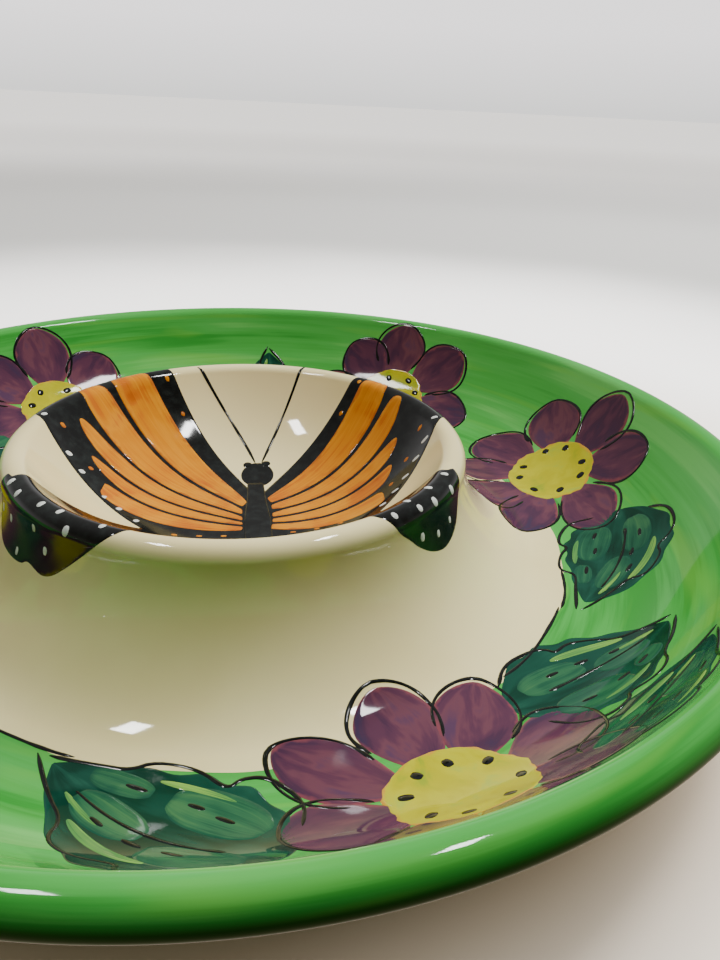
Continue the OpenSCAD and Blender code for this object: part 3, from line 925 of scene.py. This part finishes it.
def cells(batch, rows, side):
    """A wing's cells, with thin veins between them that widen outwards."""
    t = np.sin(np.linspace(0, np.pi / 2, 60))
    spines = []
    for row in rows:
        line = curve(row[:3], 90)
        spines.append(np.stack([np.interp(t, np.linspace(0, 1, 90), c) for c in line.T], -1))
    gap = (1.1 + 2.4 * t ** 5) * MM
    close = np.sqrt(np.clip(1 - t ** 26, 0.0004, 1))[:, None]
    for i, (spine, (w0, w1)) in enumerate(zip(spines, (row[3:] for row in rows))):
        plain = w0 + 0.6 + (w1 - w0 - 0.6) * t ** 0.6
        free = sides(spine, plain * MM)
        own = plain * (1 + 0.8 * np.minimum(1, 3 * t) * (1 - t ** 6)) * MM
        before, after = free if side < 0 else free[::-1]
        if i > 0:
            before = cell_edge(spine, spines[i - 1], own, gap)
        if i < len(rows) - 1:
            after = cell_edge(spine, spines[i + 1], own, gap)
        left, right = (before, after) if side < 0 else (after, before)
        left, right = (spine + (line - spine) * close for line in (left, right))
        batch.add(*strip_mesh(left, right, bowl_place, PAINT * 1.8, across=13))


def wing(side, name):
    edge = EDGES[side]
    start, end, rho = edge["rim"]
    rim = polar(rho * MM, np.linspace(start, end, 12))
    outline = np.concatenate([curve(edge["lead"]), rim, curve(edge["trail"])[1:], curve(edge["hind"])[1:],
                              tip_lobe(side), curve(edge["tail"])])
    ground = Batch()
    patch(ground, outline, bowl_place, PAINT)
    ground.piece(f"wing_{name}_ground", WING_BLACK, "black_paint",
                 [f"wing_ground_{name}", f"wing_tip_{name}"])
    for part, table in (("fore", FORE_CELLS), ("hind", HIND_CELLS)):
        batch = Batch()
        cells(batch, table[side], side)
        batch.piece(f"{part}wing_cells_{name}_painted", ORANGE, "orange_paint", [f"{part}wing_cells_{name}"])


def butterfly_body():
    body = Batch()
    t = np.linspace(0, 1, 40)
    trunk = np.stack([BODY_X + 0 * t, HEAD_Y - 5 + (TAIL_Y - HEAD_Y + 5) * t], -1) * MM
    left, right = sides(trunk, np.interp(t, [0, 0.25, 0.5, 0.9, 1], [3.4, 4.2, 5.4, 5.4, 1.5]) * MM)
    body.add(*strip_mesh(left, right, bowl_place, PAINT * 2, across=11))
    dot(body, np.array([BODY_X + 1, HEAD_Y]) * MM, 15 * MM, bowl_place, PAINT * 3, 1.2, 90)
    for side in (-1, 1):
        dot(body, np.array([BODY_X + 1 + side * 4.0, HEAD_Y + 7.5]) * MM, 4 * MM, bowl_place, PAINT * 3.5)
    body.piece("butterfly_body_painted", BLACK, "black_paint", ["butterfly_body"])
    feelers = Batch()
    for feeler in (([5.5, 37], [0, 58], [-20, 77]), ([8, 37], [15, 56], [31, 76])):
        stroke(feelers, curve(feeler, 40), OUTLINE, bowl_place, 0.2 * MM)
    feelers.piece("antennae_painted", BLACK, "black_paint", ["antennae"])


# White dots on the wing tips: azimuth, and distance down from the crest's top
TIP_DOTS = {
    -1: [(-154, 2.5), (-148, 3), (-139, 1), (-133, 0), (-121, -0.5), (-155, 12.5), (-149, 12.5), (-138, 9),
         (-128, 5), (-144, 20.5), (-134, 14.5)],
    1: [(-31, 0), (-40, -1), (-49, -1.5), (-56, 2), (-34.5, 5.5), (-43, 4.5), (-48.5, 3.5), (-37, 15),
        (-43, 16), (-49, 13.5)],
}


SPOT_RISE = 0.3 * MM


def spots():
    white, orange = Batch(), Batch()
    rng = np.random.RandomState(5)
    for side, name in ((-1, "left"), (1, "right")):
        edge = EDGES[side]
        trail, lead = curve(edge["trail"], 61), curve(edge["lead"], 61)
        run = np.gradient(trail, axis=0)
        run /= np.linalg.norm(run, axis=1)[:, None]
        inward = np.stack([-run[:, 1], run[:, 0]], -1) * (1 if side < 0 else -1)
        for i in range(6):
            k = int(5 + 9.8 * i + 2 * rng.uniform(-1, 1))
            place = trail[k] + inward[k] * 3.0 * MM
            dot(white, place, 2.7 * MM, bowl_place, SPOT_RISE, 1.25, 120 + 60 * side)
        for i in range(4):
            k = int(6 + 15 * i)
            dot(orange, trail[k] + inward[k] * 8.3 * MM, 2.4 * MM, bowl_place, SPOT_RISE, 1.15, 60)
        for k in (46, 55):
            dot(orange, lead[k] + np.array([side, -1]) * 2.7 * MM, 2.4 * MM, bowl_place, SPOT_RISE)
        for k in range(3):
            dot(orange, np.array([5 + side * (13 + 9 * k), -19.5]) * MM, 2.0 * MM, bowl_place, SPOT_RISE, 1.4)
        tip = Batch()
        for azimuth, down in TIP_DOTS[side]:
            place = polar(CREST_R + down * MM, azimuth)
            dot(tip, place, 3.0 * MM * (1 + 0.15 * rng.uniform(-1, 1)), bowl_place, 0.35 * MM, 1.2, azimuth)
        tip.piece(f"tip_dots_{name}_painted", WHITE, "white_paint", [f"tip_dots_{name}"])
    white.piece("wing_spots_white_painted", WHITE, "white_paint", ["wing_spots_white"])
    orange.piece("wing_spots_orange_painted", ORANGE, "orange_paint", ["wing_spots_orange"])


# Studio

CAMERA_AT = Vector((0, -0.2646, 0.1686))
CAMERA_PAN, CAMERA_TILT, CAMERA_ROLL = math.radians(9.9), math.radians(26.73), math.radians(2.73)
CAMERA_LENS = 28.1

# Each row is a ceiling panel: name, place, size, watts
PANELS = [("ceiling_left", (-0.56, 0.03, 1.5), (0.12, 0.34), 8),
          ("ceiling_right", (0.54, 0.03, 1.5), (0.11, 0.34), 10)]
KEY = ("soft_key", (0.85, 0.72, 1.15), (1.0, 1.0), 38)
KEY_TARGET = (0, 0, 0.03)
FLOOR_WASH, FLOOR_WASH_ANGLE = 5.0, math.radians(100)
# Light from the room by height, and its share by how far off the camera's side it comes from
ROOM = [(0.0, (0.42, 0.36, 0.26)), (0.48, (0.55, 0.48, 0.35)), (0.5, (0.66, 0.655, 0.65)),
        (0.56, (0.69, 0.67, 0.67)), (0.675, (0.30, 0.29, 0.28)), (1.0, (0.32, 0.31, 0.29))]
CAMERA_SIDE = [(0.0, (0.10, 0.08, 0.055)), (0.45, (0.42, 0.37, 0.31)), (0.9, (1, 1, 1))]
# What the camera alone sees behind the floor, by height
BACKDROP = [(0.5, (1.28, 1.27, 1.25)), (0.54, (1.8, 1.74, 1.75)), (0.66, (1.95, 1.9, 1.9))]
FLOOR_REACH, FLOOR_CORNERS = 40.0, 64
# The floor's greys by distance from the server, as a share of the reach of the tones: a warm brown painted
# shadow close under the rim, pale, then a darker painted shade band about 0.8 to 1.3 m out, and pale again
# far off
FLOOR_PAINTED_SHADE_REACH = 5
FLOOR_PAINTED_SHADE = [(0.033, (0.48, 0.36, 0.24, 1)), (0.045, (0.78, 0.71, 0.61, 1)),
               (0.08, (0.92, 0.91, 0.89, 1)), (0.16, (0.34, 0.34, 0.33, 1)),
               (0.26, (0.37, 0.37, 0.36, 1)), (0.5, (0.74, 0.74, 0.73, 1)),
               (1.0, (0.92, 0.92, 0.91, 1))]


def camera():
    data = bpy.data.cameras.new("camera")
    data.lens = CAMERA_LENS
    data.clip_start = 0.01
    level = math.cos(CAMERA_TILT)
    forward = Vector((math.sin(CAMERA_PAN) * level, math.cos(CAMERA_PAN) * level, -math.sin(CAMERA_TILT)))
    right = Vector((math.cos(CAMERA_PAN), -math.sin(CAMERA_PAN), 0))
    up = right.cross(forward)
    x = math.cos(CAMERA_ROLL) * right + math.sin(CAMERA_ROLL) * up
    y = -math.sin(CAMERA_ROLL) * right + math.cos(CAMERA_ROLL) * up
    eye = bpy.data.objects.new("camera", data)
    eye.matrix_world = Matrix.Translation(CAMERA_AT) @ Matrix((x, y, -forward)).transposed().to_4x4()
    bpy.context.scene.collection.objects.link(eye)
    bpy.context.scene.camera = eye


def panel(name, at, size, power):
    """A light panel that faces straight down until it is turned."""
    data = bpy.data.lights.new(name, "AREA")
    data.shape = "RECTANGLE"
    data.size, data.size_y = size
    data.energy = power
    light = bpy.data.objects.new(name, data)
    light.location = at
    bpy.context.scene.collection.objects.link(light)
    return light


def toward(light, point):
    """Turns a light to a point, and keeps it out of the reflections."""
    light.rotation_euler = (Vector(point) - light.location).to_track_quat("-Z", "Y").to_euler()
    light.visible_glossy = False


def studio():
    camera()
    for row in PANELS:
        panel(*row)
    toward(panel(*KEY), KEY_TARGET)
    room()
    wash(floor())


def wash(ground):
    """Even light for the floor alone, so that it stays pale as far as it goes."""
    data = bpy.data.lights.new("floor_wash", "SUN")
    data.energy, data.angle = FLOOR_WASH, FLOOR_WASH_ANGLE
    data.color = (1.0, 0.965, 0.93)
    light = bpy.data.objects.new("floor_wash", data)
    light.location = (0.35, 0.15, 1.4)
    toward(light, (0, 0, 0))
    bpy.context.scene.collection.objects.link(light)
    lit = bpy.data.collections.new("floor_only")
    lit.objects.link(ground)
    light.light_linking.receiver_collection = lit


def room():
    """Pale low down and behind, dim and warm on the camera's side, with a pale backdrop."""
    world = bpy.data.worlds.new("studio")
    bpy.context.scene.world = world
    world.use_nodes = True
    tree = world.node_tree
    nodes, link = tree.nodes, tree.links.new
    split = nodes.new("ShaderNodeSeparateXYZ")
    link(nodes.new("ShaderNodeTexCoord").outputs["Generated"], split.inputs[0])

    def ramp(socket, low, high, stops):
        reach = nodes.new("ShaderNodeMapRange")
        reach.inputs[1].default_value, reach.inputs[2].default_value = low, high
        link(socket, reach.inputs[0])
        node = nodes.new("ShaderNodeValToRGB")
        set_stops(node, [(place, (*colour, 1)) for place, colour in stops])
        link(reach.outputs[0], node.inputs[0])
        return node.outputs["Color"]

    def mix(blend, factor, a, b):
        node = nodes.new("ShaderNodeMix")
        node.data_type, node.blend_type = "RGBA", blend
        node.inputs[0].default_value = 1
        if factor:
            link(factor, node.inputs[0])
        link(a, node.inputs[6])
        link(b, node.inputs[7])
        return node.outputs[2]

    light = mix("MULTIPLY", None, ramp(split.outputs["Z"], -1, 1, ROOM),
                ramp(split.outputs["Y"], -0.7, 0.5, CAMERA_SIDE))
    seen = nodes.new("ShaderNodeLightPath").outputs["Is Camera Ray"]
    shown = mix("MIX", seen, light, ramp(split.outputs["Z"], -1, 1, BACKDROP))
    link(shown, nodes["Background"].inputs["Color"])


def floor():
    """A wide disc, lit by its own sun and left out of the light that the server gets."""
    a = np.linspace(0, 2 * np.pi, FLOOR_CORNERS, endpoint=False)
    mesh = bpy.data.meshes.new("floor")
    ring = np.stack([FLOOR_REACH * np.cos(a), FLOOR_REACH * np.sin(a), 0 * a], -1)
    mesh.from_pydata(ring.tolist(), [], [list(range(FLOOR_CORNERS))])
    m = Shader("floor", roughness=0.6)
    m.bsdf.inputs["Specular IOR Level"].default_value = 0.1
    place = m.position()
    length = m.node("ShaderNodeVectorMath", operation="LENGTH")
    m.link(place, length.inputs[0])
    far = m.math("ADD", length.outputs["Value"], m.range(m.noise(place, 3, 2), 0.3, 0.7, -0.02, 0.02))
    # Painted shadow under the rim and a painted shade band farther out, by distance from the middle
    m.colour(m.ramp(m.range(far, 0, FLOOR_PAINTED_SHADE_REACH), *FLOOR_PAINTED_SHADE))
    mesh.materials.append(m.material)
    obj = bpy.data.objects.new("floor", mesh)
    bpy.context.scene.collection.objects.link(obj)
    obj.visible_diffuse = obj.visible_glossy = False
    return obj


def build():
    clay()
    glaze("cream_glaze", 0, s_at(CREAM_R), CREAM)
    glaze("green_glaze", s_at(CREAM_R), S[-1], GREEN)
    for number, row in enumerate(FLOWERS, 1):
        flower(number, *row)
    for number, row in enumerate(LEAVES, 1):
        leaf(number, *row)
    edge_lines()
    wing(-1, "left")
    wing(1, "right")
    butterfly_body()
    spots()
    studio()


build()
